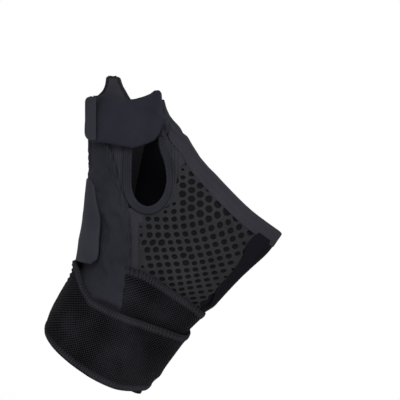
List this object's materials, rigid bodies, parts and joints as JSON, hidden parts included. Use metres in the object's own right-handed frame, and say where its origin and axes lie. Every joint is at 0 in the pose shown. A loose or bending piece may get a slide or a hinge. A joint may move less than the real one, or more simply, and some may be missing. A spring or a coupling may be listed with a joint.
{
  "type": "thumb spica splint",
  "caption": "Fabric thumb and wrist splint in its worn form: mesh palm, padded thumb column, thumb strap and a two-pass elastic wrist strap.",
  "frame": {"origin": "middle of the wrist opening at its lower rim", "axes": "+Z along the forearm towards the fingers, -Y out of the palm, -X towards the thumb side"},
  "size_m": [0.1248, 0.062, 0.1455],
  "materials": {
    "air_mesh": "matte open mesh",
    "glove_fabric": "matte knit",
    "column_fabric": "matte padded knit",
    "band_fabric": "matte woven band",
    "loop_fabric": "brushed loop pile",
    "ribbed_elastic": "ribbed elastic weave"
  },
  "bodies": {
    "root": {"palm_mesh_panel": "air_mesh", "thumb_side_panel": "glove_fabric", "back_panel": "glove_fabric", "stay_column": "column_fabric", "hand_opening_hem": "band_fabric", "thumb_opening_binding": "band_fabric", "closure_tab": "loop_fabric", "thumb_strap": "loop_fabric", "wrist_strap": "ribbed_elastic"}
  },
  "joints": []
}
